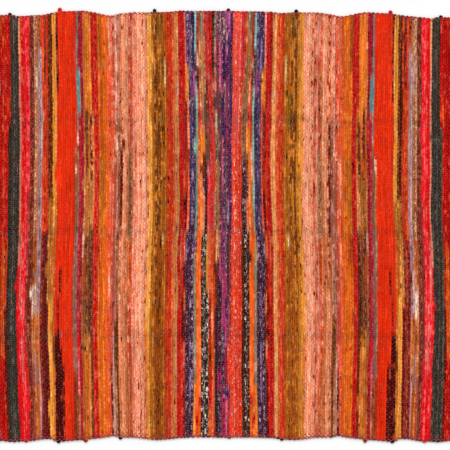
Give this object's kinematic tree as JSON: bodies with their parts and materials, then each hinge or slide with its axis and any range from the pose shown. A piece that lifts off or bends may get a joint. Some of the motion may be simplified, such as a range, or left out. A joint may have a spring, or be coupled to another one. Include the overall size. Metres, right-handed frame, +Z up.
{
  "type": "woven rag rug",
  "caption": "Flat handwoven rag rug: cotton strips in plain weave form narrow multicolour stripes across it, with uneven looped selvedges and plain ends. Lies on a floor.",
  "frame": {"origin": "centre of the rug's bounding box at floor level", "axes": "+X along the length and the warp, +Y across the width and along the strips, +Z up out of the floor"},
  "size_m": [1.7, 1.2278, 0.006],
  "materials": {
    "rag_weave": "matte multicolour cotton strips, woven"
  },
  "bodies": {
    "root": {"woven_rug": "rag_weave"}
  },
  "joints": []
}
